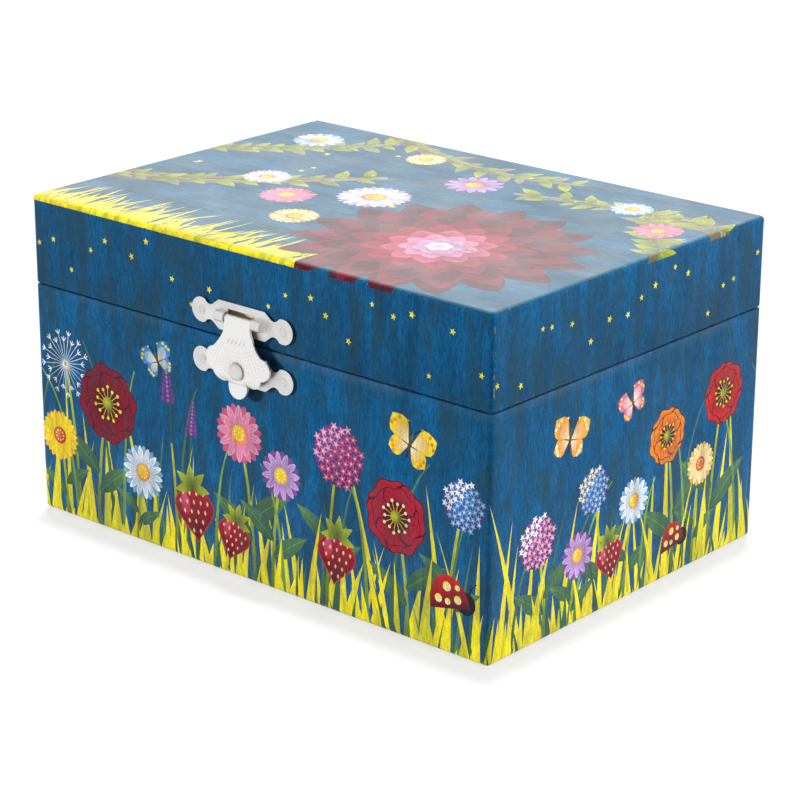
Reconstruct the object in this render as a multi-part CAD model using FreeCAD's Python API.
import FreeCAD, Part
import math
import os

# Musical jewellery box with a turning dancer: a paper-covered case with a hinged lid and a stamped clasp,
# a lined inside with a jewellery well, ring rolls and a stage, and a wind-up movement under the stage.
# Millimetres. Origin at the centre of the underside, +X to the right, +Y to the back, +Z up.

V = FreeCAD.Vector
os.makedirs("parts", exist_ok=True)

# Case
BOX_WIDTH = 185.0
BOX_DEPTH = 131.0
BOX_HEIGHT = 105.0
BODY_HEIGHT = 76.0
SEAM_GAP = 0.4
BOARD = 3.0
PAPER = 0.4
EDGE_RADIUS = 1.5
BASE_PAPER_INSET = 2.5
TURN_UNDER = 12.0
TURN_IN = 8.0
TOP_FOLD = 2.6

# Lining and compartments
LINER = 1.2
LINER_DROP = 0.8
SOFT_GAP = 0.2
WELL_PAD = 2.0
WELL_DEPTH = 54.5
RING_TRAY_WIDTH = 93.5
PARTITION = 2.4
PARTITION_DROP = 14.0
DECK = 2.0
CLEAT = 4.0
ROLL_COUNT = 5
ROLL_GAP = 0.4
ROLL_HEIGHT = 12.0
CEILING_PANEL = 2.4
MIRROR_WIDTH = 120.0
MIRROR_DEPTH = 74.0
MIRROR_THICK = 2.0

# Rear hinges
HINGE_INSET = 40.0
HINGE_WIDTH = 24.0
HINGE_LEAF = 0.8
HINGE_LEAF_HEIGHT = 10.0
KNUCKLE_RADIUS = 1.6
HINGE_PIN_RADIUS = 0.8
HINGE_PIN_HEAD_RADIUS = 1.3
HINGE_PIN_HEAD = 0.7
KNUCKLE_GAP = 0.3
HINGE_FACE_GAP = 0.1
STOP_FINGER = 4.2
STOP_FINGER_TILT = 5.0
NAIL_SPACING = 15.0
NAIL_RADIUS = 0.7
NAIL_HEAD_RADIUS = 1.3
NAIL_HEAD = 0.6

# Clasp
CLASP_OFFSET = -1.5
CLASP_METAL = 0.7
CLASP_PIN_ABOVE_SEAM = 6.9
CLASP_PIN_RADIUS = 0.6
CLASP_KNUCKLE_RADIUS = 1.75
CLASP_KNUCKLE_LENGTH = 3.8
CLASP_PIN_STANDOFF = 1.5
UPPER_PLATE_DROP = 0.1
LOWER_PLATE_BELOW_SEAM = 8.2
RIVET_SPACING = 33.2
PLATE_BODY_WIDTH = 22.6
PLATE_BODY_HEIGHT = 9.2
PLATE_SHOULDER = 2.0
PLATE_NECK_HEIGHT = 6.2
PLATE_NOTCH = 0.7
PLATE_EAR_RADIUS = 3.9
PLATE_EAR_OPENING = 66.0
RIVET_RADIUS = 0.8
RIVET_HEAD_RADIUS = 1.4
RIVET_HEAD = 0.5
RIVET_LENGTH = 2.4
HASP_CURL_RADIUS = 1.15
CURL_RECESS = 1.6
NECK_WIDTH = 10.4
NECK_DROP = 2.6
FLARE_WIDTH = 19.6
FLARE_DROP = 9.4
FLARE_HOLLOW = 0.7
SHELL_WIDTH = 25.8
SHELL_DROP = 13.8
LOBE_WIDTH = 16.0
LOBE_DROP = 18.9
TAB_DROP = 20.1
TAB_RADIUS = 3.8
TAB_NECK = 6.4
RIB_COUNT = 5
RIB_SPREAD = 96.0
RIB_LENGTH = 8.6
RIB_RADIUS = 0.5
BUTTON_DROP = 15.4
BUTTON_RADIUS = 2.6
BUTTON_HEIGHT = 1.7
BUTTON_SHANK_RADIUS = 1.5
SOCKET_RADIUS = 1.0
SOCKET_DEPTH = 1.3
STUD_RADIUS = 0.65
STUD_CLEARANCE = 0.3

# Movement
ARBOR_ABOVE_BASE = 20.2
BARREL_FROM_PARTITION = 45.6
BEDPLATE = 2.5
BEDPLATE_LIFT = 0.8
BEDPLATE_SIDE_GAP = 1.1
BEDPLATE_OVERHANG = 3.0
HUB_LENGTH = 7.0
HUB_RADIUS = 4.0
AXIAL_GAP = 0.3
BARREL_RADIUS = 12.6
BARREL_LENGTH = 11.0
BARREL_WALL = 0.9
BARREL_PLATE = 1.2
ARBOR_RADIUS = 1.5
RUNNING_GAP = 0.05
CROWN_TEETH = 36
CROWN_TOOTH_HEIGHT = 1.6
CROWN_FACE = 2.2
ADDENDUM_SHARE = 0.38
PINION_TEETH = 12
PINION_FACE = 1.8
TOOTH_SHARE = 0.30
TOOTH_TIP_SHARE = 0.16
SPRING_TURNS = 6
SPRING_RIBBON = 0.4
SPRING_PITCH = 1.3
CYLINDER_RADIUS = 6.2
CYLINDER_LENGTH = 19.0
CYLINDER_ARBOR_RADIUS = 1.0
TUNE_PIN_RADIUS = 0.2
TUNE_PIN_HEIGHT = 0.5
TUNE_PIN_COUNT = 54
COMB_TEETH = 18
COMB_THICK = 0.8
COMB_TOOTH_LENGTH = 8.0
COMB_HEEL = 4.6
COMB_TIP_GAP = 0.25
COMB_SLIT = 0.3
COMB_SCREW_RADIUS = 0.8
COMB_SCREW_SPACING = 11.4
ARM_THICK = 2.2
ARM_HEIGHT = 8.0
ARM_GAP = 0.8
WHEEL_TEETH = 36
WHEEL_MODULE = 0.4
WHEEL_ADDENDUM = 0.75
WHEEL_DEDENDUM = 1.1
WHEEL_FACE = 2.0
FLY_TEETH = 10
FLY_PHASE = 315.0
GOVERNOR_BORE_WALL = 1.3
GOVERNOR_LENGTH = 19.0
GOVERNOR_HEIGHT = 12.5
FLY_ARBOR_RADIUS = 0.6
MOVEMENT_SCREW_RADIUS = 1.25
SCREW_HEAD_RADIUS = 2.6
SCREW_HEAD = 1.6
SCREW_INSET = 4.5
GROMMET_RADIUS = 6.0
GROMMET_FLANGE = 0.8
GROMMET_WALL = 0.8
KEY_GAP = 0.6
KEY_SHANK_RADIUS = 2.8
KEY_SHANK_LENGTH = 9.0
KEY_WING_RADIUS = 6.5
KEY_WING_HOLE = 3.1
KEY_WING_SPREAD = 6.3
KEY_THICK = 2.0

# Stop wire worked by the lid
WIRE_RADIUS = 0.7
WIRE_SIDE_GAP = 0.4
WIRE_FOOT_GAP = 0.6
WIRE_TRAVEL = 2.5
WIRE_FINGER = 4.5
WIRE_LID_GAP = 0.1

# Dancer
SPINDLE_RADIUS = 1.5
BUSH_RADIUS = 3.2
BUSH_FLANGE_RADIUS = 7.0
BUSH_FLANGE = 1.2
DISC_RADIUS = 17.0
DISC = 2.4
DANCER_HEADROOM = 1.8
TUTU_RADIUS = 14.5
TUTU_RIM = 0.5

# Small working clearance where a pin, rivet or screw passes a board
HOLE_GAP = 0.05


def box(x, y, z):
    return Part.makeBox(x[1] - x[0], y[1] - y[0], z[1] - z[0], V(x[0], y[0], z[0]))


def rod(radius, start, end):
    along = end.sub(start)
    return Part.makeCylinder(radius, along.Length, start, along)


def fuse(first, *others):
    return first.multiFuse(list(others)).removeSplitter()


def prism(points, along):
    return Part.Face(Part.makePolygon(points + [points[0]])).extrude(along)


def lies_along(edge, axis):
    ends = edge.Vertexes[-1].Point.sub(edge.Vertexes[0].Point)
    return ends.Length > 1e-6 and abs(ends.normalize().dot(axis)) > 0.999


def rounded_block(half_x, half_y, z, radius, closed_z):
    # a block with its four upright edges and the edges of its closed end rounded
    solid = box((-half_x, half_x), (-half_y, half_y), z)
    upright = [e for e in solid.Edges if lies_along(e, V(0, 0, 1))]
    end = [e for e in solid.Edges if abs(e.BoundBox.ZMin - closed_z) + abs(e.BoundBox.ZMax - closed_z) < 1e-6]
    return solid.makeFillet(radius, upright + end)


def frame_ring(half_x, half_y, wall, z):
    outer = box((-half_x, half_x), (-half_y, half_y), z)
    return outer.cut(box((wall - half_x, half_x - wall), (wall - half_y, half_y - wall), z))


def panels(core, in_x, in_y):
    # the front and back boards run the full width, and the side boards stand between them
    far = BOX_WIDTH
    tall = (-BOX_HEIGHT, 2 * BOX_HEIGHT)
    return {
        "front": core.common(box((-far, far), (-far, -in_y), tall)),
        "back": core.common(box((-far, far), (in_y, far), tall)),
        "left": core.common(box((-far, -in_x), (-in_y, in_y), tall)),
        "right": core.common(box((in_x, far), (-in_y, in_y), tall)),
    }


def dome(radius, height, centre, along):
    # a low round head: a slice of a ball
    ball = (radius ** 2 + height ** 2) / (2 * height)
    low = math.degrees(math.asin((ball - height) / ball))
    cap = Part.makeSphere(ball, V(0, 0, height - ball), V(0, 0, 1), low, 90, 360)
    cap.Placement = FreeCAD.Placement(centre, FreeCAD.Rotation(V(0, 0, 1), along))
    return cap


def gear_outline(teeth, pitch_radius, above, below, phase):
    # straight-sided slender teeth, thinner at the tip than at the root
    step = 2 * math.pi / teeth
    points = []
    for tooth in range(teeth):
        middle = phase + tooth * step
        spots = (
            (pitch_radius - below, -0.5 * (2 * TOOTH_SHARE - TOOTH_TIP_SHARE)),
            (pitch_radius + above, -0.5 * TOOTH_TIP_SHARE),
            (pitch_radius + above, 0.5 * TOOTH_TIP_SHARE),
            (pitch_radius - below, 0.5 * (2 * TOOTH_SHARE - TOOTH_TIP_SHARE)),
        )
        for radius, share in spots:
            angle = middle + share * step
            points.append(V(radius * math.cos(angle), radius * math.sin(angle), 0))
    return points


def save(node, *solids):
    shape = solids[0] if len(solids) == 1 else Part.makeCompound(list(solids))
    if not shape.isValid():
        print("not valid:", node)
    shape.exportStep("parts/" + node + ".step")


# Levels and faces that the pieces share
half_w = BOX_WIDTH / 2
half_d = BOX_DEPTH / 2
wall_x = half_w - PAPER
wall_y = half_d - PAPER
room_x = wall_x - BOARD
room_y = wall_y - BOARD
liner_x = room_x - PAPER
liner_y = room_y - PAPER
inside_x = liner_x - LINER
inside_y = liner_y - LINER
core_radius = EDGE_RADIUS - PAPER
body_bottom = PAPER
board_bottom = body_bottom + PAPER
board_top = BODY_HEIGHT - PAPER
base_top = board_bottom + BOARD
lid_bottom = BODY_HEIGHT + SEAM_GAP
rail_bottom = lid_bottom + PAPER
lid_board_top = BOX_HEIGHT - PAPER
rail_top = lid_board_top - BOARD
ceiling = rail_top - CEILING_PANEL
seam = BODY_HEIGHT + SEAM_GAP / 2
liner_top = BODY_HEIGHT - LINER_DROP
partition_top = BODY_HEIGHT - PARTITION_DROP

# Compartments
well_back = WELL_DEPTH - inside_y
stage_front = well_back + PARTITION
tray_right = RING_TRAY_WIDTH - inside_x
stage_left = tray_right + PARTITION

# Movement axes and levels
arbor_x = stage_left + BARREL_FROM_PARTITION
arbor_z = base_top + ARBOR_ABOVE_BASE
bed_front = room_y - BEDPLATE
barrel_back = bed_front - HUB_LENGTH - 2 * AXIAL_GAP
barrel_front = barrel_back - BARREL_LENGTH
crown_mid = BARREL_RADIUS - CROWN_FACE / 2
tooth_pitch = 2 * math.pi * crown_mid / CROWN_TEETH
pinion_radius = PINION_TEETH * tooth_pitch / (2 * math.pi)
mesh_y = barrel_front - CROWN_TOOTH_HEIGHT / 2
train_y = mesh_y - pinion_radius
tooth_above = ADDENDUM_SHARE * CROWN_TOOTH_HEIGHT
tooth_below = CROWN_TOOTH_HEIGHT - tooth_above
pinion_left = arbor_x - crown_mid - PINION_FACE / 2
arm_right = pinion_left - ARM_GAP
cylinder_right = arm_right - ARM_THICK - ARM_GAP
cylinder_left = cylinder_right - CYLINDER_LENGTH
wheel_right = cylinder_left - ARM_GAP - COMB_SLIT
wheel_left = wheel_right - WHEEL_FACE
left_arm_right = wheel_left - ARM_GAP
left_arm_left = left_arm_right - ARM_THICK
wheel_radius = WHEEL_TEETH * WHEEL_MODULE / 2
wheel_above = WHEEL_ADDENDUM * WHEEL_MODULE
wheel_below = WHEEL_DEDENDUM * WHEEL_MODULE
fly_radius = FLY_TEETH * WHEEL_MODULE / 2
fly_reach = (wheel_radius + fly_radius) * math.sqrt(0.5)
fly_y = train_y + fly_reach
fly_z = arbor_z + fly_reach
governor_bottom = fly_z - GOVERNOR_BORE_WALL
governor_top = governor_bottom + GOVERNOR_HEIGHT
governor_front = fly_y - GOVERNOR_BORE_WALL
governor_left = wheel_right + ARM_GAP
governor_right = governor_left + GOVERNOR_LENGTH
bed_bottom = base_top + BEDPLATE_LIFT
bed_top = governor_top
bed_left = stage_left + BEDPLATE_SIDE_GAP
bed_right = arbor_x + BARREL_RADIUS + BEDPLATE_OVERHANG
heel_top = arbor_z - CYLINDER_RADIUS - TUNE_PIN_HEIGHT - COMB_TIP_GAP - COMB_TOOTH_LENGTH
wire_foot_z = bed_top + WIRE_FOOT_GAP + WIRE_RADIUS
deck_bottom = wire_foot_z + WIRE_RADIUS + WIRE_TRAVEL + WIRE_FOOT_GAP
deck_top = deck_bottom + DECK
wire_x = (governor_left + governor_right) / 2
wire_y = liner_y - WIRE_SIDE_GAP - WIRE_RADIUS
wire_finger_y = (governor_front + bed_front) / 2

# Dancer's levels
pinion_bottom = arbor_z + crown_mid - PINION_FACE / 2
pinion_top = pinion_bottom + PINION_FACE
bush_bottom = pinion_top + AXIAL_GAP
flange_top = deck_top + BUSH_FLANGE
disc_bottom = flange_top + AXIAL_GAP
disc_top = disc_bottom + DISC
figure_height = ceiling - DANCER_HEADROOM - disc_top

# Hinge and clasp axes
hinge_y = half_d + KNUCKLE_RADIUS + HINGE_FACE_GAP
hinge_places = (HINGE_INSET - half_w, half_w - HINGE_INSET)
clasp_y = -half_d - CLASP_PIN_STANDOFF
clasp_z = lid_bottom + CLASP_PIN_ABOVE_SEAM
upper_plate_z = clasp_z - UPPER_PLATE_DROP
lower_plate_z = BODY_HEIGHT - LOWER_PLATE_BELOW_SEAM
button_z = clasp_z - BUTTON_DROP
leaf_back = clasp_y - HASP_CURL_RADIUS + CLASP_METAL
leaf_front = leaf_back - CLASP_METAL


def rivet_holes(z, gap):
    # from just in front of the plate to the rivets' ends inside the board
    places = []
    for side in (-1, 1):
        x = CLASP_OFFSET + side * RIVET_SPACING / 2
        places.append(rod(RIVET_RADIUS + gap, V(x, -half_d - CLASP_METAL, z), V(x, RIVET_LENGTH - half_d, z)))
    return places


def rivets(z):
    pieces = []
    for side, shank in zip((-1, 1), rivet_holes(z, 0)):
        x = CLASP_OFFSET + side * RIVET_SPACING / 2
        head = dome(RIVET_HEAD_RADIUS, RIVET_HEAD, V(x, -half_d - CLASP_METAL, z), V(0, -1, 0))
        pieces.append(shank.fuse(head))
    return pieces


def stud_hole(gap):
    start = V(CLASP_OFFSET, -half_d - CLASP_METAL, button_z)
    return rod(STUD_RADIUS + gap, start, V(CLASP_OFFSET, RIVET_LENGTH - half_d, button_z))


def curl_slot(depth):
    # the opening in the upper plate, and the recess in the lid behind it, that clear the hasp's curl
    half_x = NECK_WIDTH / 2 + KNUCKLE_GAP
    half_z = 2 * HASP_CURL_RADIUS
    return box((CLASP_OFFSET - half_x, CLASP_OFFSET + half_x), (-half_d - CLASP_METAL, depth - half_d),
               (clasp_z - half_z, clasp_z + half_z))


def nail_places(upward):
    # two nails through the middle of each leaf
    height = seam + upward * (KNUCKLE_RADIUS + KNUCKLE_GAP + HINGE_LEAF_HEIGHT / 2)
    return [V(x + side * NAIL_SPACING / 2, 0, height) for x in hinge_places for side in (-1, 1)]


def nail_shanks(upward, gap):
    shanks = []
    for place in nail_places(upward):
        start = V(place.x, half_d + HINGE_LEAF, place.z)
        shanks.append(rod(NAIL_RADIUS + gap, start, V(place.x, half_d - BOARD, place.z)))
    return shanks


def nails(upward):
    pieces = []
    for place, shank in zip(nail_places(upward), nail_shanks(upward, 0)):
        head = dome(NAIL_HEAD_RADIUS, NAIL_HEAD, V(place.x, half_d + HINGE_LEAF, place.z), V(0, 1, 0))
        pieces.append(shank.fuse(head))
    return pieces


def screw_places():
    left = bed_left + SCREW_INSET
    right = bed_right - SCREW_INSET
    low = bed_bottom + SCREW_INSET
    high = bed_top - SCREW_INSET
    return [V(left, 0, high), V(right, 0, high), V(right, 0, low)]


def screw_shanks(gap):
    radius = MOVEMENT_SCREW_RADIUS + gap
    return [rod(radius, V(p.x, half_d, p.z), V(p.x, bed_front - gap, p.z)) for p in screw_places()]


def make_body_case():
    outer = rounded_block(half_w, half_d, (body_bottom, BODY_HEIGHT), EDGE_RADIUS, body_bottom)
    core = rounded_block(wall_x, wall_y, (board_bottom, board_top), core_radius, board_bottom)
    walls = panels(core, room_x, room_y)
    key_radius = GROMMET_RADIUS - 2 * GROMMET_WALL + HOLE_GAP
    key_hole = rod(key_radius, V(arbor_x, 0, arbor_z), V(arbor_x, half_d, arbor_z))
    front_holes = rivet_holes(lower_plate_z, HOLE_GAP) + [stud_hole(HOLE_GAP)]
    back_holes = nail_shanks(-1, HOLE_GAP) + screw_shanks(HOLE_GAP) + [key_hole]

    # the printed paper turns in over the rim and under the base
    wrap = outer.cut(core)
    wrap = wrap.cut(box((-liner_x, liner_x), (-liner_y, liner_y), (board_top, BODY_HEIGHT)))
    open_x = half_w - TURN_UNDER
    open_y = half_d - TURN_UNDER
    wrap = wrap.cut(box((-open_x, open_x), (-open_y, open_y), (body_bottom, board_bottom)))
    turn_in = frame_ring(room_x, room_y, PAPER, (board_top - TURN_IN, board_top))
    wrap = wrap.fuse(turn_in.cut(back_holes))
    save("body_wrap", wrap.cut(front_holes + back_holes).removeSplitter())

    save("front_wall", walls["front"].cut(front_holes))
    save("back_wall", walls["back"].cut(back_holes))
    save("left_wall", walls["left"])
    save("right_wall", walls["right"])
    save("base_board", core.common(box((-room_x, room_x), (-room_y, room_y), (board_bottom, base_top))))
    paper_x = half_w - BASE_PAPER_INSET
    paper_y = half_d - BASE_PAPER_INSET
    save("base_paper", box((-paper_x, paper_x), (-paper_y, paper_y), (0, PAPER)))


def make_lid_case():
    outer = rounded_block(half_w, half_d, (lid_bottom, BOX_HEIGHT), EDGE_RADIUS, BOX_HEIGHT)
    core = rounded_block(wall_x, wall_y, (rail_bottom, lid_board_top), core_radius, lid_board_top)
    below_top = box((-half_w, half_w), (-half_d, half_d), (rail_bottom, rail_top))
    rails = panels(core.common(below_top), room_x, room_y)
    fold = BOX_HEIGHT - TOP_FOLD
    front_holes = rivet_holes(upper_plate_z, HOLE_GAP) + [curl_slot(CURL_RECESS)]
    back_holes = nail_shanks(1, HOLE_GAP)

    # the side paper turns in under the rim, and the top sheet folds down over its upper edge
    wrap = outer.cut(core)
    wrap = wrap.cut(box((-liner_x, liner_x), (-liner_y, liner_y), (lid_bottom, rail_bottom)))
    sides = wrap.common(box((-half_w, half_w), (-half_d, half_d), (lid_bottom, fold)))
    sides = sides.fuse(frame_ring(room_x, room_y, PAPER, (rail_bottom, rail_bottom + TURN_IN)))
    save("lid_side_wrap", sides.cut(front_holes + back_holes).removeSplitter())
    save("lid_top_sheet", wrap.common(box((-half_w, half_w), (-half_d, half_d), (fold, BOX_HEIGHT))))

    save("lid_front_rail", rails["front"].cut(front_holes))
    save("lid_back_rail", rails["back"].cut(back_holes))
    save("lid_left_rail", rails["left"])
    save("lid_right_rail", rails["right"])
    save("lid_top_board", core.cut(box((-half_w, half_w), (-half_d, half_d), (rail_bottom, rail_top))))


def make_lining():
    wall_z = (base_top, liner_top)
    save("liner_left", box((-liner_x, -inside_x), (-liner_y, liner_y), wall_z))
    save("liner_right", box((inside_x, liner_x), (-liner_y, liner_y), wall_z))
    save("liner_front", box((-inside_x, inside_x), (-liner_y, -inside_y), wall_z))

    # the back lining stands on the tray and the deck, and leaves a slot for the stop wire
    slot = WIRE_RADIUS + WIRE_SIDE_GAP
    back_y = (inside_y, liner_y)
    left = box((-inside_x, wire_x - slot), back_y, (deck_top, liner_top))
    right = box((wire_x + slot, inside_x), back_y, (deck_top, liner_top))
    save("liner_back", left, right)

    pad_x = inside_x - SOFT_GAP
    pad_y = (SOFT_GAP - inside_y, well_back - SOFT_GAP)
    save("well_pad", box((-pad_x, pad_x), pad_y, (base_top, base_top + WELL_PAD)))
    save("partition_long", box((-inside_x, inside_x), (well_back, stage_front), (base_top, partition_top)))
    save("partition_cross", box((tray_right, stage_left), (stage_front, inside_y), (base_top, partition_top)))


def make_decks():
    slot = WIRE_RADIUS + WIRE_SIDE_GAP
    notch = box((wire_x - slot, wire_x + slot), (wire_y - slot, liner_y), (deck_bottom, deck_top))
    bush_hole = rod(BUSH_RADIUS + HOLE_GAP, V(arbor_x, train_y, deck_bottom), V(arbor_x, train_y, deck_top))
    cross = box((tray_right, stage_left), (stage_front, inside_y), (deck_bottom, deck_top))
    deck = box((stage_left, inside_x), (stage_front, liner_y), (deck_bottom, deck_top))
    save("stage_deck", deck.cut([notch, bush_hole]))
    tray = box((-inside_x, stage_left), (stage_front, liner_y), (deck_bottom, deck_top))
    save("ring_tray", tray.cut(cross))

    # strips glued to the partitions and the lining carry the deck and the tray
    under = (deck_bottom - CLEAT, deck_bottom)
    front_y = (stage_front, stage_front + CLEAT)
    side_y = (stage_front + CLEAT, inside_y)
    save("deck_cleats",
         box((stage_left, inside_x), front_y, under),
         box((inside_x - CLEAT, inside_x), side_y, under),
         box((-inside_x, tray_right), front_y, under),
         box((-inside_x, CLEAT - inside_x), side_y, under),
         box((tray_right - CLEAT, tray_right), side_y, under))


def make_ring_rolls():
    # soft rolls side by side, flat below and round above, with slits between them for the rings
    pitch = (inside_y - stage_front) / ROLL_COUNT
    radius = (pitch - ROLL_GAP) / 2
    shoulder = deck_top + ROLL_HEIGHT - radius
    start_x = SOFT_GAP - inside_x
    length = tray_right - SOFT_GAP - start_x
    rolls = []
    for place in range(ROLL_COUNT):
        middle = stage_front + (place + 0.5) * pitch
        corners = [V(start_x, middle + radius, shoulder), V(start_x, middle + radius, deck_top),
                   V(start_x, middle - radius, deck_top), V(start_x, middle - radius, shoulder)]
        crown = Part.Arc(corners[3], V(start_x, middle, shoulder + radius), corners[0]).toShape()
        outline = Part.Wire([Part.makePolygon(corners), crown])
        rolls.append(Part.Face(outline).extrude(V(length, 0, 0)))
    save("ring_rolls", *rolls)


def make_lid_lining():
    strip_z = (rail_bottom, ceiling)
    save("lid_liner",
         box((-liner_x, -inside_x), (-liner_y, liner_y), strip_z),
         box((inside_x, liner_x), (-liner_y, liner_y), strip_z),
         box((-inside_x, inside_x), (-liner_y, -inside_y), strip_z),
         box((-inside_x, inside_x), (inside_y, liner_y), strip_z))
    hole_x = MIRROR_WIDTH / 2 + SOFT_GAP
    hole_y = MIRROR_DEPTH / 2 + SOFT_GAP
    panel = box((-liner_x, liner_x), (-liner_y, liner_y), (ceiling, rail_top))
    save("lid_ceiling_panel", panel.cut(box((-hole_x, hole_x), (-hole_y, hole_y), (ceiling, rail_top))))
    save("mirror", box((-MIRROR_WIDTH / 2, MIRROR_WIDTH / 2), (-MIRROR_DEPTH / 2, MIRROR_DEPTH / 2),
                       (rail_top - MIRROR_THICK, rail_top)))


def hinge_leaf(x, upward, knuckles, bore):
    # a plate on the back of the case with tongues up to its knuckles
    near = seam + upward * (KNUCKLE_RADIUS + KNUCKLE_GAP)
    far = near + upward * HINGE_LEAF_HEIGHT
    plate = box((x - HINGE_WIDTH / 2, x + HINGE_WIDTH / 2), (half_d, half_d + HINGE_LEAF),
                (min(near, far), max(near, far)))
    corners = [e for e in plate.Edges if lies_along(e, V(0, 1, 0)) and abs(e.BoundBox.ZMin - far) < 1e-6]
    plate = plate.makeFillet(2 * KNUCKLE_RADIUS, corners)
    inner = hinge_y - KNUCKLE_RADIUS
    for start, end in knuckles:
        tongue = box((x + start, x + end), (inner, half_d + HINGE_LEAF), (min(near, seam), max(near, seam)))
        barrel = rod(KNUCKLE_RADIUS, V(x + start, hinge_y, seam), V(x + end, hinge_y, seam))
        plate = plate.multiFuse([tongue, barrel])
    return plate.cut(rod(bore, V(x - HINGE_WIDTH, hinge_y, seam), V(x + HINGE_WIDTH, hinge_y, seam)))


def stop_finger(x, half_length):
    # points out of the back at rest, and comes down on the body leaf when the lid stands open
    finger = box((x - half_length, x + half_length), (HINGE_PIN_RADIUS + RUNNING_GAP, STOP_FINGER),
                 (-HINGE_LEAF / 2, HINGE_LEAF / 2))
    finger.rotate(V(0, 0, 0), V(1, 0, 0), STOP_FINGER_TILT)
    finger.translate(V(0, hinge_y, seam))
    return finger.cut(rod(HINGE_PIN_RADIUS + RUNNING_GAP, V(x - HINGE_WIDTH, hinge_y, seam),
                          V(x + HINGE_WIDTH, hinge_y, seam)))


def make_hinges():
    half = HINGE_WIDTH / 2
    third = HINGE_WIDTH / 6
    body_leaves = []
    lid_leaves = []
    pins = []
    for x in hinge_places:
        outer = ((-half, -third - KNUCKLE_GAP / 2), (third + KNUCKLE_GAP / 2, half))
        middle = ((KNUCKLE_GAP / 2 - third, third - KNUCKLE_GAP / 2),)
        body_leaf = hinge_leaf(x, -1, outer, HINGE_PIN_RADIUS)
        lid_leaf = hinge_leaf(x, 1, middle, HINGE_PIN_RADIUS + RUNNING_GAP)
        lid_leaf = lid_leaf.fuse(stop_finger(x, third - KNUCKLE_GAP / 2))
        body_leaves.append(body_leaf.cut(nail_shanks(-1, HOLE_GAP)).removeSplitter())
        lid_leaves.append(lid_leaf.cut(nail_shanks(1, HOLE_GAP)).removeSplitter())
        pin = rod(HINGE_PIN_RADIUS, V(x - half, hinge_y, seam), V(x + half, hinge_y, seam))
        for side in (-1, 1):
            end = V(x + side * half, hinge_y, seam)
            pin = pin.fuse(dome(HINGE_PIN_HEAD_RADIUS, HINGE_PIN_HEAD, end, V(side, 0, 0)))
        pins.append(pin)
    save("hinge_body_leaves", *body_leaves)
    save("hinge_lid_leaves", *lid_leaves)
    save("hinge_pins", *pins)
    save("hinge_body_nails", *nails(-1))
    save("hinge_lid_nails", *nails(1))


def clasp_plate(z):
    # a stamped plate: a body with sloping shoulders, a scalloped neck and a round ear at each end
    opening = math.radians(PLATE_EAR_OPENING)
    ear_x = RIVET_SPACING / 2
    shoulder = (PLATE_BODY_WIDTH / 2 - PLATE_SHOULDER, PLATE_BODY_HEIGHT / 2)
    foot = (PLATE_BODY_WIDTH / 2, PLATE_NECK_HEIGHT / 2)
    root = (ear_x - PLATE_EAR_RADIUS * math.cos(opening), PLATE_EAR_RADIUS * math.sin(opening))
    notch = ((foot[0] + root[0]) / 2, PLATE_NECK_HEIGHT / 2 - PLATE_NOTCH)
    tip = (ear_x + PLATE_EAR_RADIUS, 0)

    def spot(point, side, up):
        return V(CLASP_OFFSET + side * point[0], -half_d - CLASP_METAL, z + up * point[1])

    edges = []
    for side in (1, -1):
        for up in (1, -1):
            step, hollow, end = (spot(point, side, up) for point in (foot, notch, root))
            edges.append(Part.makeLine(spot(shoulder, side, up), step))
            edges.append(Part.Arc(step, hollow, end).toShape())
        edges.append(Part.Arc(spot(root, side, 1), spot(tip, side, 1), spot(root, side, -1)).toShape())
        edges.append(Part.makeLine(spot(shoulder, -1, side), spot(shoulder, 1, side)))
    outline = Part.Wire(Part.__sortEdges__(edges))
    return Part.Face(outline).extrude(V(0, CLASP_METAL, 0)).cut(rivet_holes(z, HOLE_GAP))


def hasp_outline(y):
    # neck, flaring shell, two round lobes on each side and a round finger tab below
    neck = NECK_WIDTH / 2
    tab_x = TAB_NECK / 2
    tab = (tab_x, TAB_DROP - math.sqrt(TAB_RADIUS ** 2 - tab_x ** 2))
    flare = (FLARE_WIDTH / 2, FLARE_DROP)
    bend = ((neck + flare[0]) / 2 - FLARE_HOLLOW, (NECK_DROP + FLARE_DROP) / 2)
    widest = (SHELL_WIDTH / 2, SHELL_DROP)
    lobe = (LOBE_WIDTH / 2, LOBE_DROP)
    notch = (SHELL_WIDTH / 4 + TAB_NECK / 2, (SHELL_DROP + LOBE_DROP) / 2)

    def spot(x, drop):
        return V(CLASP_OFFSET + x, y, clasp_z - drop)

    def arc(a, b, c):
        return Part.Arc(spot(*a), spot(*b), spot(*c)).toShape()

    def flip(point):
        return (-point[0], point[1])

    edges = [Part.makeLine(spot(-neck, 0), spot(neck, 0))]
    edges.append(Part.makeLine(spot(neck, 0), spot(neck, NECK_DROP)))
    edges.append(arc((neck, NECK_DROP), bend, flare))
    edges.append(arc(flare, widest, notch))
    edges.append(arc(notch, lobe, tab))
    edges.append(arc(tab, (0, TAB_DROP + TAB_RADIUS), flip(tab)))
    edges.append(arc(flip(tab), flip(lobe), flip(notch)))
    edges.append(arc(flip(notch), flip(widest), flip(flare)))
    edges.append(arc(flip(flare), flip(bend), (-neck, NECK_DROP)))
    edges.append(Part.makeLine(spot(-neck, NECK_DROP), spot(-neck, 0)))
    return Part.Face(Part.Wire(edges))


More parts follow.
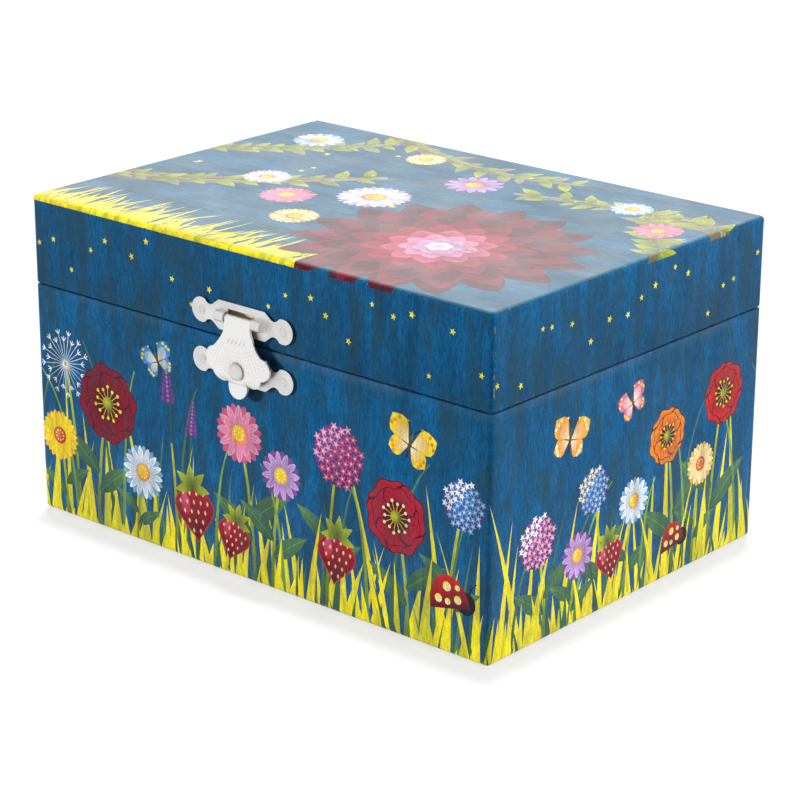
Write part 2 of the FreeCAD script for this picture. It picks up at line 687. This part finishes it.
def make_hasp():
    neck = NECK_WIDTH / 2
    ends = (V(CLASP_OFFSET - neck, clasp_y, clasp_z), V(CLASP_OFFSET + neck, clasp_y, clasp_z))
    leaf = hasp_outline(leaf_front).extrude(V(0, CLASP_METAL, 0))
    parts = [rod(HASP_CURL_RADIUS, *ends)]

    # pressed fan ribs that widen towards the lobes
    top = V(CLASP_OFFSET, leaf_front, clasp_z - NECK_DROP)
    for rib in range(RIB_COUNT):
        angle = math.radians(RIB_SPREAD * (rib / (RIB_COUNT - 1) - 0.5))
        ray = V(math.sin(angle), 0, -math.cos(angle))
        start = top.add(V(ray).multiply(NECK_WIDTH / 3))
        parts.append(Part.makeCone(RIB_RADIUS / 3, RIB_RADIUS, RIB_LENGTH, start, ray))
    ribbed = fuse(leaf, *parts)
    behind = box((-half_w, half_w), (leaf_back, 0), (clasp_z - BOX_HEIGHT, clasp_z - HASP_CURL_RADIUS))
    bore = rod(CLASP_PIN_RADIUS + RUNNING_GAP, *ends)

    def on_axis(y):
        return V(CLASP_OFFSET, y, button_z)

    shank = rod(BUTTON_SHANK_RADIUS + HOLE_GAP, on_axis(2 * leaf_front), on_axis(0))
    recess = rod(BUTTON_RADIUS + HOLE_GAP, on_axis(2 * leaf_front), on_axis(leaf_front))
    save("clasp_hasp", ribbed.cut([behind, bore, shank, recess]).removeSplitter())

    cap = dome(BUTTON_RADIUS, BUTTON_HEIGHT, on_axis(leaf_front), V(0, -1, 0))
    post = rod(BUTTON_SHANK_RADIUS, on_axis(leaf_front), on_axis(leaf_back))
    socket = rod(SOCKET_RADIUS, on_axis(leaf_back - SOCKET_DEPTH), on_axis(leaf_back))
    save("clasp_button", cap.fuse(post).cut(socket))


def make_clasp_plates():
    # upper plate: a slot for the hasp's curl between two knuckles that hold the pin
    neck = NECK_WIDTH / 2 + KNUCKLE_GAP
    plate = clasp_plate(upper_plate_z).cut(curl_slot(0))
    pin_ends = []
    knuckles = []
    for side in (-1, 1):
        near = V(CLASP_OFFSET + side * neck, clasp_y, clasp_z)
        far = V(CLASP_OFFSET + side * (neck + CLASP_KNUCKLE_LENGTH), clasp_y, clasp_z)
        knuckles.append(rod(CLASP_KNUCKLE_RADIUS, near, far))
        pin_ends.append(far)
    in_front = box((-half_w, half_w), (-half_d, half_d), (0, BOX_HEIGHT))
    plate = fuse(plate, *knuckles).cut(in_front)
    save("clasp_upper_plate", plate.cut(rod(CLASP_PIN_RADIUS, *pin_ends)))
    save("clasp_pin", rod(CLASP_PIN_RADIUS, *pin_ends))
    save("clasp_upper_rivets", *rivets(upper_plate_z))
    save("clasp_lower_plate", clasp_plate(lower_plate_z).cut(stud_hole(HOLE_GAP)))
    save("clasp_lower_rivets", *rivets(lower_plate_z))

    # the stud stops just short of the hasp, and enters the button's socket when the hasp is pressed home
    tip = V(CLASP_OFFSET, leaf_back + STUD_CLEARANCE, button_z)
    save("clasp_stud", rod(STUD_RADIUS, tip, V(CLASP_OFFSET, RIVET_LENGTH - half_d, button_z)))


def make_bedplate():
    plate = box((bed_left, bed_right), (bed_front, room_y), (bed_bottom, bed_top))
    arm_front = train_y - ARM_HEIGHT / 2
    arm_z = (arbor_z - ARM_HEIGHT / 2, arbor_z + ARM_HEIGHT / 2)
    right_arm = box((arm_right - ARM_THICK, arm_right), (arm_front, bed_front), arm_z)
    left_arm = box((left_arm_left, left_arm_right), (arm_front, bed_front), arm_z)
    comb_y = train_y + COMB_THICK / 2
    boss = box((cylinder_left, cylinder_right), (comb_y, bed_front), (heel_top - COMB_HEEL, heel_top))
    casting = fuse(plate, right_arm, left_arm, boss)
    cuts = screw_shanks(HOLE_GAP)
    cuts.append(rod(ARBOR_RADIUS + RUNNING_GAP, V(arbor_x, bed_front, arbor_z), V(arbor_x, room_y, arbor_z)))
    journal = CYLINDER_ARBOR_RADIUS + RUNNING_GAP
    cuts.append(rod(journal, V(left_arm_left, train_y, arbor_z), V(arm_right, train_y, arbor_z)))
    cuts.extend(comb_screw_shanks(HOLE_GAP))
    save("movement_bedplate", casting.cut(cuts))
    save("movement_screws", *movement_screws())

    # the comb: a heel screwed to the boss and tuned teeth up to the cylinder's pins
    tip = heel_top + COMB_TOOTH_LENGTH
    pitch = CYLINDER_LENGTH / COMB_TEETH
    y = (comb_y - COMB_THICK, comb_y)
    heel = box((cylinder_left, cylinder_right), y, (heel_top - COMB_HEEL, heel_top))
    teeth = []
    for tooth in range(COMB_TEETH):
        x = cylinder_left + tooth * pitch
        teeth.append(box((x + COMB_SLIT / 2, x + pitch - COMB_SLIT / 2), y, (heel_top, tip)))
    save("comb", fuse(heel, *teeth).cut(comb_screw_shanks(HOLE_GAP)))
    screws = []
    for shank in comb_screw_shanks(0):
        middle = shank.CenterOfMass
        head = dome(2 * COMB_SCREW_RADIUS, COMB_SCREW_RADIUS, V(middle.x, y[0], middle.z), V(0, -1, 0))
        screws.append(shank.fuse(head))
    save("comb_screws", *screws)


def comb_screw_shanks(gap):
    z = heel_top - COMB_HEEL / 2
    front = train_y - COMB_THICK / 2
    middle = (cylinder_left + cylinder_right) / 2
    places = [middle + side * COMB_SCREW_SPACING / 2 for side in (-1, 1)]
    return [rod(COMB_SCREW_RADIUS + gap, V(x, front, z), V(x, front + COMB_HEEL, z)) for x in places]


def movement_screws():
    pieces = []
    for place, shank in zip(screw_places(), screw_shanks(0)):
        head = dome(SCREW_HEAD_RADIUS, SCREW_HEAD, V(place.x, half_d, place.z), V(0, 1, 0))
        slot = box((place.x - SCREW_HEAD_RADIUS, place.x + SCREW_HEAD_RADIUS),
                   (half_d + SCREW_HEAD / 2, half_d + SCREW_HEAD), (place.z - PAPER, place.z + PAPER))
        pieces.append(shank.fuse(head.cut(slot)))
    return pieces


def crown_tooth(angle):
    # a radial rib that narrows towards its tip
    half_root = tooth_pitch * (2 * TOOTH_SHARE - TOOTH_TIP_SHARE) / 2
    half_tip = tooth_pitch * TOOTH_TIP_SHARE / 2
    inner = BARREL_RADIUS - CROWN_FACE
    points = [V(inner, -half_root, 0), V(inner, half_root, 0),
              V(inner, half_tip, CROWN_TOOTH_HEIGHT), V(inner, -half_tip, CROWN_TOOTH_HEIGHT)]
    tooth = prism(points, V(CROWN_FACE - RUNNING_GAP, 0, 0))
    tooth.rotate(V(0, 0, 0), V(0, 0, 1), angle)
    tooth.translate(V(0, 0, BARREL_LENGTH))
    return tooth


def place_on_arbor(shape, y):
    # turns a piece made along +Z to point forwards along the winding arbor
    shape.rotate(V(0, 0, 0), V(1, 0, 0), 90)
    shape.translate(V(arbor_x, y, arbor_z))
    return shape


def make_barrel():
    drum = Part.makeCylinder(BARREL_RADIUS, BARREL_LENGTH)
    hollow = Part.makeCylinder(BARREL_RADIUS - BARREL_WALL, BARREL_LENGTH - BARREL_PLATE)
    step = 360.0 / CROWN_TEETH
    teeth = [crown_tooth((tooth + 0.5) * step) for tooth in range(CROWN_TEETH)]
    bore = Part.makeCylinder(ARBOR_RADIUS + RUNNING_GAP, BARREL_LENGTH + CROWN_TOOTH_HEIGHT)
    barrel = fuse(drum.cut(hollow), *teeth).cut(bore)
    save("spring_barrel", place_on_arbor(barrel, barrel_back))
    cap = Part.makeCylinder(BARREL_RADIUS - BARREL_WALL, BARREL_WALL).cut(bore)
    save("barrel_cap", place_on_arbor(cap, barrel_back))

    # the mainspring: a ribbon of half turns that open out from the arbor to the barrel's wall
    height = BARREL_LENGTH - BARREL_PLATE - BARREL_WALL - 2 * AXIAL_GAP
    inner = []
    outer = []
    radius = BARREL_RADIUS - BARREL_WALL - AXIAL_GAP - SPRING_RIBBON - SPRING_TURNS * SPRING_PITCH
    shift = SPRING_PITCH / 2
    for half_turn in range(2 * SPRING_TURNS):
        side = 1 if half_turn % 2 == 0 else -1
        centre = V(0 if side > 0 else shift, 0, 0)
        for line, extra in ((inner, 0), (outer, SPRING_RIBBON)):
            start = centre.add(V(side * (radius + extra), 0, 0))
            top = centre.add(V(0, side * (radius + extra), 0))
            end = centre.add(V(-side * (radius + extra), 0, 0))
            line.append(Part.Arc(start, top, end).toShape())
        radius += shift
    ends = [Part.makeLine(inner[0].Vertexes[0].Point, outer[0].Vertexes[0].Point),
            Part.makeLine(inner[-1].Vertexes[-1].Point, outer[-1].Vertexes[-1].Point)]
    ribbon = Part.Face(Part.Wire(Part.__sortEdges__(inner + outer + ends))).extrude(V(0, 0, height))
    ribbon.translate(V(0, 0, BARREL_WALL + AXIAL_GAP))
    save("mainspring", place_on_arbor(ribbon, barrel_back))


def make_winding():
    # the arbor runs from the barrel's front, through the bedplate and the back wall, into the key
    shank_back = half_d + GROMMET_FLANGE + KEY_GAP
    key_front = shank_back + KEY_SHANK_LENGTH
    arbor_front = barrel_front - CROWN_TOOTH_HEIGHT

    def on_axis(y):
        return V(arbor_x, y, arbor_z)

    arbor = rod(ARBOR_RADIUS, on_axis(arbor_front), on_axis(key_front - KEY_SHANK_RADIUS))
    hub = rod(HUB_RADIUS, on_axis(barrel_back + AXIAL_GAP), on_axis(bed_front - AXIAL_GAP))
    nut = rod(2 * ARBOR_RADIUS, on_axis(arbor_front), on_axis(barrel_front - AXIAL_GAP))
    save("winding_arbor", fuse(arbor, hub, nut))

    shank = rod(KEY_SHANK_RADIUS, on_axis(shank_back), on_axis(key_front + KEY_WING_RADIUS))
    wing_y = key_front + KEY_WING_RADIUS
    low = arbor_z - KEY_THICK / 2
    high = arbor_z + KEY_THICK / 2
    wings = []
    holes = []
    for side in (-1, 1):
        x = arbor_x + side * KEY_WING_SPREAD
        wings.append(rod(KEY_WING_RADIUS, V(x, wing_y, low), V(x, wing_y, high)))
        holes.append(rod(KEY_WING_HOLE, V(x, wing_y, low), V(x, wing_y, high)))
    web = box((arbor_x - KEY_WING_SPREAD, arbor_x + KEY_WING_SPREAD),
              (wing_y - KEY_WING_HOLE, wing_y + KEY_WING_HOLE), (low, high))
    bow = fuse(wings[0], wings[1], web).cut(holes)
    key = fuse(shank, bow).cut(rod(ARBOR_RADIUS, on_axis(shank_back), on_axis(key_front - KEY_SHANK_RADIUS)))
    save("winding_key", key)

    flange = rod(GROMMET_RADIUS, on_axis(half_d), on_axis(half_d + GROMMET_FLANGE))
    sleeve_radius = GROMMET_RADIUS - 2 * GROMMET_WALL
    sleeve = rod(sleeve_radius, on_axis(room_y), on_axis(half_d))
    bore = rod(sleeve_radius - GROMMET_WALL, on_axis(room_y), on_axis(half_d + GROMMET_FLANGE))
    save("key_grommet", flange.fuse(sleeve).cut(bore).removeSplitter())


def along_x(outline, start, length):
    # turns an outline drawn in the XY plane to run along +X from its start on the cylinder's line
    solid = prism(outline, V(0, 0, length))
    solid.rotate(V(0, 0, 0), V(0, 1, 0), 90)
    solid.translate(start)
    return solid


def make_cylinder():
    axis = V(1, 0, 0)
    drum = Part.makeCylinder(CYLINDER_RADIUS, CYLINDER_LENGTH, V(cylinder_left, train_y, arbor_z), axis)
    arbor = rod(CYLINDER_ARBOR_RADIUS, V(left_arm_left, train_y, arbor_z),
                V(pinion_left + PINION_FACE, train_y, arbor_z))
    pinion = along_x(gear_outline(PINION_TEETH, pinion_radius, tooth_above, tooth_below, math.pi / 2),
                     V(pinion_left, train_y, arbor_z), PINION_FACE)
    wheel = along_x(gear_outline(WHEEL_TEETH, wheel_radius, wheel_above, wheel_below, 0),
                    V(wheel_left, train_y, arbor_z), WHEEL_FACE)

    # pins that pluck the comb, one row under each tooth, spread round the drum by the golden angle
    pins = []
    pitch = CYLINDER_LENGTH / COMB_TEETH
    golden = math.pi * (3 - math.sqrt(5))
    for pin in range(TUNE_PIN_COUNT):
        x = cylinder_left + (pin % COMB_TEETH + 0.5) * pitch
        ray = V(0, math.cos(pin * golden), math.sin(pin * golden))
        root = V(x, train_y, arbor_z).add(V(ray).multiply(CYLINDER_RADIUS - TUNE_PIN_HEIGHT))
        pins.append(Part.makeCylinder(TUNE_PIN_RADIUS, 2 * TUNE_PIN_HEIGHT, root, ray))
    save("tune_cylinder", fuse(drum, arbor, pinion, wheel, *pins))


def make_governor():
    housing = box((governor_left, governor_right), (governor_front, bed_front),
                  (governor_bottom, governor_top))
    bore = rod(FLY_ARBOR_RADIUS + RUNNING_GAP, V(governor_left, fly_y, fly_z),
               V(governor_left + GOVERNOR_BORE_WALL * 2, fly_y, fly_z))
    finger_hole = rod(WIRE_RADIUS + WIRE_SIDE_GAP, V(wire_x, wire_finger_y, governor_top - WIRE_FINGER),
                      V(wire_x, wire_finger_y, governor_top))
    save("governor_housing", housing.cut([bore, finger_hole]))
    outline = gear_outline(FLY_TEETH, fly_radius, wheel_above, wheel_below, math.radians(FLY_PHASE))
    pinion = along_x(outline, V(wheel_left, fly_y, fly_z), WHEEL_FACE)
    arbor = rod(FLY_ARBOR_RADIUS, V(wheel_left, fly_y, fly_z),
                V(governor_left + GOVERNOR_BORE_WALL * 2 - AXIAL_GAP, fly_y, fly_z))
    save("governor_pinion", fuse(pinion, arbor))


def make_stop_wire():
    # one bent wire: an upright that the lid presses, a foot, and a finger into the governor
    top = rail_bottom - WIRE_LID_GAP
    upright = rod(WIRE_RADIUS, V(wire_x, wire_y, wire_foot_z), V(wire_x, wire_y, top))
    foot = rod(WIRE_RADIUS, V(wire_x, wire_y, wire_foot_z), V(wire_x, wire_finger_y, wire_foot_z))
    finger_end = governor_top - WIRE_FINGER + WIRE_SIDE_GAP
    finger = rod(WIRE_RADIUS, V(wire_x, wire_finger_y, wire_foot_z), V(wire_x, wire_finger_y, finger_end))
    bends = [Part.makeSphere(WIRE_RADIUS, V(wire_x, y, wire_foot_z)) for y in (wire_y, wire_finger_y)]
    save("stop_wire", fuse(upright, foot, finger, *bends))


def make_spindle():
    def on_axis(z):
        return V(arbor_x, train_y, z)

    pinion = prism(gear_outline(PINION_TEETH, pinion_radius, tooth_above, tooth_below, math.pi / 2),
                   V(0, 0, PINION_FACE))
    pinion.translate(on_axis(pinion_bottom))
    save("spindle", fuse(rod(SPINDLE_RADIUS, on_axis(pinion_bottom), on_axis(disc_top)), pinion))
    bush = fuse(rod(BUSH_RADIUS, on_axis(bush_bottom), on_axis(deck_top)),
                rod(BUSH_FLANGE_RADIUS, on_axis(deck_top), on_axis(flange_top)))
    bore = rod(SPINDLE_RADIUS + RUNNING_GAP, on_axis(bush_bottom), on_axis(flange_top))
    save("spindle_bush", bush.cut(bore))
    disc = rod(DISC_RADIUS, on_axis(disc_bottom), on_axis(disc_top))
    rim = [e for e in disc.Edges if abs(e.BoundBox.ZMin - disc_top) < 1e-6]
    disc = disc.makeChamfer(DISC / 3, rim)
    save("turntable_disc", disc.cut(rod(SPINDLE_RADIUS, on_axis(disc_bottom), on_axis(disc_top))))


def turned(profile):
    # a round form from an outline of (radius, height) shares of the dancer's height
    points = [V(radius * figure_height, 0, height * figure_height) for radius, height in profile]
    outline = [V(0, 0, points[0].z)] + points + [V(0, 0, points[-1].z)]
    return Part.Face(Part.makePolygon(outline + [outline[0]])).revolve(V(0, 0, 0), V(0, 0, 1), 360)


def limb(start, end, start_share, end_share):
    along = end.sub(start)
    return Part.makeCone(start_share * figure_height, end_share * figure_height, along.Length, start, along)


def dancer_spot(x, y, z):
    return V(x, y, z).multiply(figure_height)


def dancer_legs():
    # both feet on their points, side by side
    legs = []
    for side in (-1, 1):
        leg = turned(((0.011, 0), (0.020, 0.05), (0.017, 0.09), (0.029, 0.17), (0.023, 0.235), (0.033, 0.39),
                      (0.030, 0.44)))
        leg.translate(dancer_spot(side * 0.037, 0, 0))
        legs.append(leg)
    return legs


def dancer_arms():
    # both arms lift in one open oval round the head
    arms = []
    for side in (-1, 1):
        shoulder = dancer_spot(side * 0.060, 0, 0.664)
        elbow = dancer_spot(side * 0.165, -0.012, 0.792)
        wrist = dancer_spot(side * 0.105, -0.020, 0.915)
        hand = dancer_spot(side * 0.030, -0.024, 0.975)
        arms.append(limb(shoulder, elbow, 0.024, 0.019))
        arms.append(Part.makeSphere(0.0195 * figure_height, elbow))
        arms.append(limb(elbow, wrist, 0.019, 0.014))
        arms.append(Part.makeSphere(0.0145 * figure_height, wrist))
        arms.append(limb(wrist, hand, 0.014, 0.010))
    return arms


def make_dancer():
    torso = turned(((0.050, 0.40), (0.078, 0.445), (0.054, 0.535), (0.070, 0.62), (0.062, 0.665),
                    (0.026, 0.705), (0.026, 0.75)))
    head = Part.makeSphere(0.064 * figure_height, dancer_spot(0, 0, 0.79))
    bun = Part.makeSphere(0.034 * figure_height, dancer_spot(0, 0.04, 0.862))
    figure = fuse(torso, head, bun, *dancer_legs(), *dancer_arms())
    figure.translate(V(arbor_x, train_y, disc_top))
    save("dancer_figure", figure)

    # a stiff skirt that stands out from the hips and dips a little towards its rim
    waist = 0.055 * figure_height
    hip = 0.47 * figure_height
    rim = 0.44 * figure_height
    profile = [V(waist, 0, hip), V(TUTU_RADIUS, 0, rim), V(TUTU_RADIUS, 0, rim + TUTU_RIM),
               V(waist, 0, hip + 4 * TUTU_RIM)]
    skirt = Part.Face(Part.makePolygon(profile + [profile[0]])).revolve(V(0, 0, 0), V(0, 0, 1), 360)
    skirt.translate(V(arbor_x, train_y, disc_top))
    save("dancer_tutu", skirt.cut(figure))


make_body_case()
make_lid_case()
make_lining()
make_decks()
make_ring_rolls()
make_lid_lining()
make_hinges()
make_hasp()
make_clasp_plates()
make_bedplate()
make_barrel()
make_winding()
make_cylinder()
make_governor()
make_stop_wire()
make_spindle()
make_dancer()
